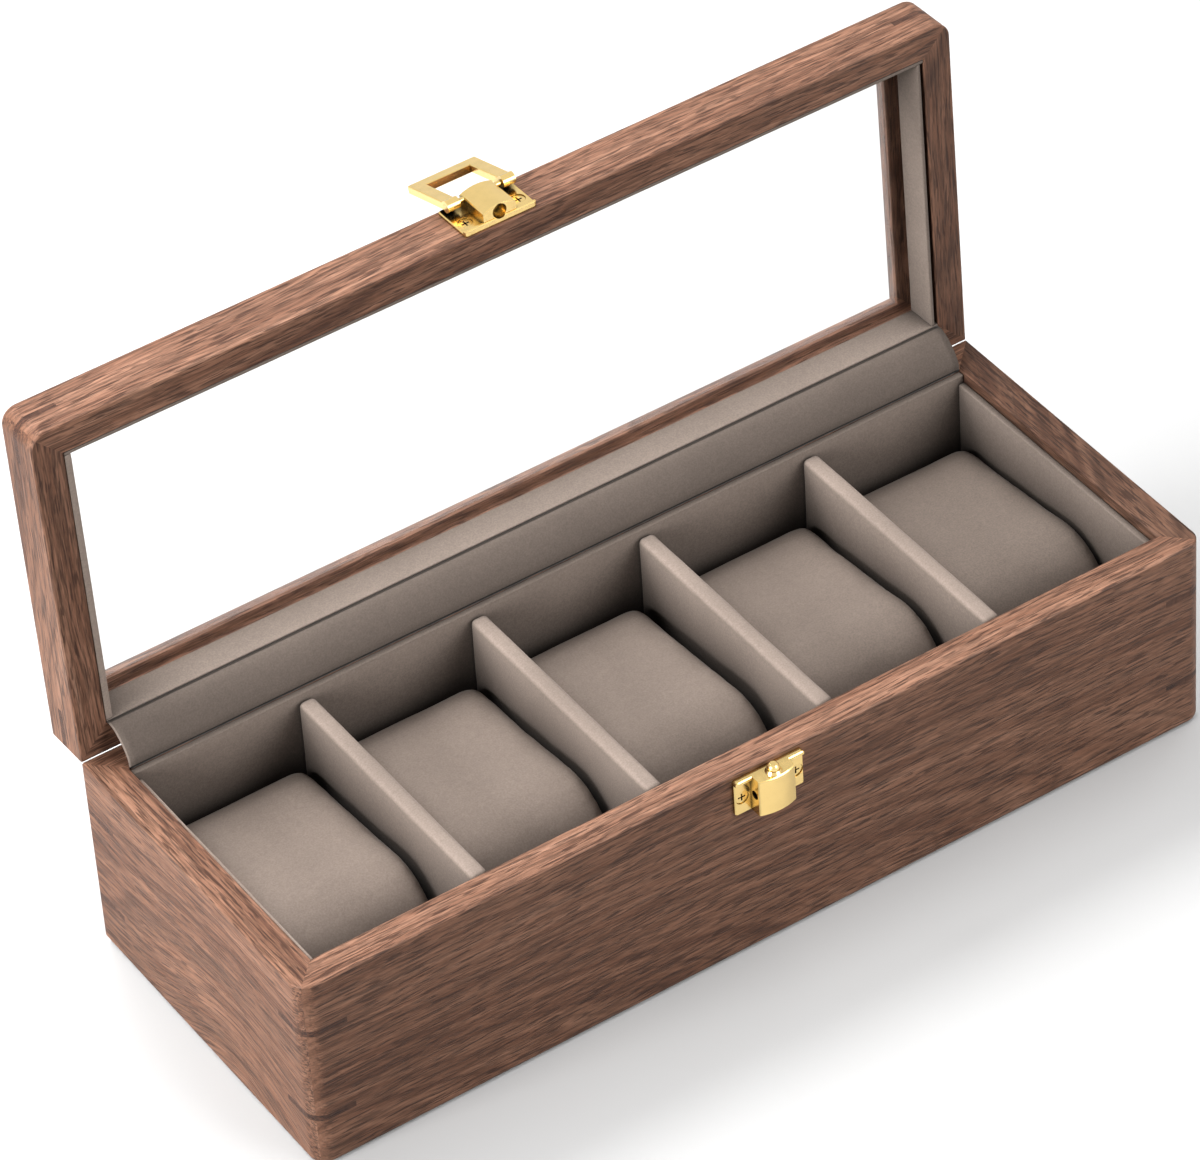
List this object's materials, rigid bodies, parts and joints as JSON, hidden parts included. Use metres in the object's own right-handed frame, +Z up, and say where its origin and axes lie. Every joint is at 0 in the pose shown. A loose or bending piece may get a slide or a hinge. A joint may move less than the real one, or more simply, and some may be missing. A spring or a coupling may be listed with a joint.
{
  "type": "watch box",
  "caption": "Walnut watch box with a glazed hinged lid standing open, velvet-lined compartments with removable pillows, dark corner keys and a gilt loop clasp.",
  "frame": {"origin": "middle of the underside, on the surface the box stands on", "axes": "+X along the box's length, to the right seen from the front; the front with the clasp faces -Y; +Z up"},
  "size_m": [0.32, 0.1651, 0.1978],
  "materials": {
    "walnut": "satin oiled",
    "key_wood": "satin oiled",
    "plywood": "unfinished",
    "felt": "felt",
    "velvet": "short soft nap",
    "filling": "soft wadding",
    "glass": "clear polished",
    "gilt": "polished",
    "hinge_brass": "satin"
  },
  "bodies": {
    "base": {"base_front_board": "walnut", "base_back_board": "walnut", "base_left_board": "walnut", "base_right_board": "walnut", "base_corner_keys": "key_wood", "bottom_panel": "plywood", "underside_felt": "felt", "floor_lining": "velvet", "base_front_lining": "velvet", "base_back_lining": "velvet", "base_left_lining": "velvet", "base_right_lining": "velvet", "divider_1": "velvet", "divider_2": "velvet", "divider_3": "velvet", "divider_4": "velvet", "hinge_left_base_leaf": "hinge_brass", "hinge_right_base_leaf": "hinge_brass", "hinge_pins": "hinge_brass", "base_hinge_screws": "hinge_brass", "catch_plate": "gilt", "catch_block": "gilt", "catch_stud": "gilt", "catch_screws": "gilt", "hinge_cover": "velvet"},
    "lid": {"lid_front_board": "walnut", "lid_back_board": "walnut", "lid_left_board": "walnut", "lid_right_board": "walnut", "lid_corner_keys": "key_wood", "glass_pane": "glass", "lid_front_lining": "velvet", "lid_back_lining": "velvet", "lid_left_lining": "velvet", "lid_right_lining": "velvet", "hinge_left_lid_leaf": "hinge_brass", "hinge_right_lid_leaf": "hinge_brass", "lid_hinge_screws": "hinge_brass", "clasp_plate": "gilt", "clasp_block": "gilt", "clasp_pin": "gilt", "clasp_screws": "gilt"},
    "loop": {"clasp_loop": "gilt"},
    "pillow_1": {"pillow_cover_1": "velvet", "pillow_core_1": "filling"},
    "pillow_2": {"pillow_cover_2": "velvet", "pillow_core_2": "filling"},
    "pillow_3": {"pillow_cover_3": "velvet", "pillow_core_3": "filling"},
    "pillow_4": {"pillow_cover_4": "velvet", "pillow_core_4": "filling"},
    "pillow_5": {"pillow_cover_5": "velvet", "pillow_core_5": "filling"}
  },
  "joints": [
    {"name": "lid_hinge", "type": "hinge", "parent": "base", "child": "lid", "pos_m": [0, 0.0602, 0.0715], "axis": [-1, 0, 0], "range_deg": [-92.2, 0], "deforming": ["hinge_cover"]},
    {"name": "loop_hinge", "type": "hinge", "parent": "lid", "child": "loop", "pos_m": [0, 0.07727, 0.19554], "axis": [-1, 0, 0], "range_deg": [-182.7, 0]},
    {"name": "pillow_1_lift", "type": "slide", "parent": "base", "child": "pillow_1", "axis": [0, 0, 1], "range_m": [0, 0.1]},
    {"name": "pillow_2_lift", "type": "slide", "parent": "base", "child": "pillow_2", "axis": [0, 0, 1], "range_m": [0, 0.1]},
    {"name": "pillow_3_lift", "type": "slide", "parent": "base", "child": "pillow_3", "axis": [0, 0, 1], "range_m": [0, 0.1]},
    {"name": "pillow_4_lift", "type": "slide", "parent": "base", "child": "pillow_4", "axis": [0, 0, 1], "range_m": [0, 0.1]},
    {"name": "pillow_5_lift", "type": "slide", "parent": "base", "child": "pillow_5", "axis": [0, 0, 1], "range_m": [0, 0.1]}
  ]
}
